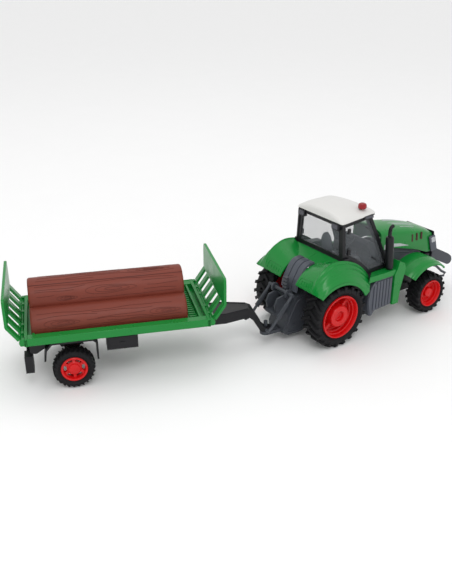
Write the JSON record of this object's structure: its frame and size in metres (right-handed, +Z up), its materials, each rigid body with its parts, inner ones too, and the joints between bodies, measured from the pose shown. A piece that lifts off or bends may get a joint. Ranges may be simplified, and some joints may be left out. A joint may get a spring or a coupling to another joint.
{
  "type": "toy tractor with log trailer",
  "caption": "Moulded toy farm tractor with a closed cab, lugged tyres and a friction motor, hitched to a trailer with folding end gates and a lift-out log load.",
  "frame": {"origin": "bottom centre of the bounding box, on the ground the wheels stand on", "axes": "+X along the tractor, towards its nose, which is also the longest extent; +Y to the tractor's left; +Z up. The trailer stands turned 21 degrees at the hitch, as at rest"},
  "size_m": [0.6118, 0.2212, 0.1642],
  "materials": {
    "green_plastic": "semi-gloss moulded green",
    "dark_grey_plastic": "satin dark grey",
    "grey_plastic": "satin mid grey",
    "black_plastic": "satin black",
    "white_plastic": "semi-gloss white",
    "red_plastic": "glossy red",
    "tyre_rubber": "matt black",
    "brown_plastic": "satin reddish brown",
    "clear_plastic": "clear, slightly smoked",
    "beacon_red": "glossy dark red",
    "steel": "turned steel",
    "gear_nylon": "natural nylon"
  },
  "bodies": {
    "tractor": {"left_gearbox_half": "dark_grey_plastic", "right_gearbox_half": "dark_grey_plastic", "chassis_tub": "black_plastic", "tow_bar": "dark_grey_plastic", "lift_bracket": "dark_grey_plastic", "rear_cover": "grey_plastic", "left_rear_fender": "green_plastic", "right_rear_fender": "green_plastic", "left_front_fender": "green_plastic", "right_front_fender": "green_plastic", "left_side_frame": "black_plastic", "right_side_frame": "black_plastic", "left_side_window": "clear_plastic", "right_side_window": "clear_plastic", "rear_window_frame": "black_plastic", "rear_window": "clear_plastic", "windscreen_frame": "black_plastic", "windscreen": "clear_plastic", "cab_floor": "dark_grey_plastic", "seat": "grey_plastic", "steering_wheel": "dark_grey_plastic", "roof": "white_plastic", "beacon_lens": "beacon_red", "exhaust_stack": "black_plastic", "hood": "green_plastic", "engine_block": "dark_grey_plastic", "front_grille": "black_plastic", "front_weight": "dark_grey_plastic", "front_linkage": "dark_grey_plastic", "cab_base": "green_plastic", "left_step_box": "grey_plastic", "right_step_box": "grey_plastic"},
    "rear_wheels": {"rear_axle": "steel", "rear_axle_gear": "gear_nylon", "rear_left_rim": "red_plastic", "rear_right_rim": "red_plastic", "rear_left_tyre": "tyre_rubber", "rear_right_tyre": "tyre_rubber"},
    "front_wheels": {"front_axle": "steel", "front_left_rim": "red_plastic", "front_right_rim": "red_plastic", "front_left_tyre": "tyre_rubber", "front_right_tyre": "tyre_rubber"},
    "idler": {"idler_gear": "gear_nylon"},
    "flywheel": {"flywheel": "steel"},
    "lift": {"lift_arms": "dark_grey_plastic"},
    "trailer": {"trailer_bed": "green_plastic", "trailer_chassis": "black_plastic", "drawbar": "black_plastic", "left_mudguard": "black_plastic", "right_mudguard": "black_plastic", "rear_bumper": "black_plastic"},
    "trailer_wheels": {"trailer_axle": "steel", "trailer_left_rim": "red_plastic", "trailer_right_rim": "red_plastic", "trailer_left_tyre": "tyre_rubber", "trailer_right_tyre": "tyre_rubber"},
    "front_gate": {"front_gate": "green_plastic"},
    "rear_gate": {"rear_gate": "green_plastic"},
    "logs": {"log_load": "brown_plastic"}
  },
  "joints": [
    {"name": "rear_axle_spin", "type": "hinge", "parent": "tractor", "child": "rear_wheels", "pos_m": [0.05737, -0.04763, 0.04], "axis": [0, 1, 0], "continuous": true},
    {"name": "idler_spin", "type": "hinge", "parent": "tractor", "child": "idler", "pos_m": [0.07177, -0.04763, 0.04], "axis": [0, 1, 0], "continuous": true},
    {"name": "flywheel_spin", "type": "hinge", "parent": "tractor", "child": "flywheel", "pos_m": [0.08537, -0.04763, 0.04], "axis": [0, 1, 0], "continuous": true},
    {"name": "front_axle_spin", "type": "hinge", "parent": "tractor", "child": "front_wheels", "pos_m": [0.21767, -0.04763, 0.0272], "axis": [0, 1, 0], "continuous": true},
    {"name": "lift_arm_raise", "type": "hinge", "parent": "tractor", "child": "lift", "pos_m": [0.01377, -0.04763, 0.0645], "axis": [0, 1, 0], "range_deg": [0, 10]},
    {"name": "trailer_turn", "type": "hinge", "parent": "tractor", "child": "trailer", "pos_m": [-0.00863, -0.04763, 0.02], "axis": [0, 0, 1], "range_deg": [-13.94, 56.06]},
    {"name": "trailer_axle_spin", "type": "hinge", "parent": "trailer", "child": "trailer_wheels", "pos_m": [-0.2242, 0.03538, 0.0232], "axis": [0.3593, 0.9332, 0], "continuous": true},
    {"name": "front_gate_fold", "type": "hinge", "parent": "trailer", "child": "front_gate", "pos_m": [-0.08021, -0.02007, 0.0642], "axis": [0.3593, 0.9332, 0], "range_deg": [0, 45]},
    {"name": "rear_gate_fold", "type": "hinge", "parent": "trailer", "child": "rear_gate", "pos_m": [-0.27207, 0.05381, 0.0642], "axis": [-0.3593, -0.9332, 0], "range_deg": [0, 45]},
    {"name": "log_lift_out", "type": "slide", "parent": "trailer", "child": "logs", "axis": [0, 0, 1], "range_m": [0, 0.08]}
  ],
  "couplings": [
    {"joint": "idler_spin", "follows": "rear_axle_spin", "ratio": -2.6},
    {"joint": "flywheel_spin", "follows": "rear_axle_spin", "ratio": 6.24}
  ]
}
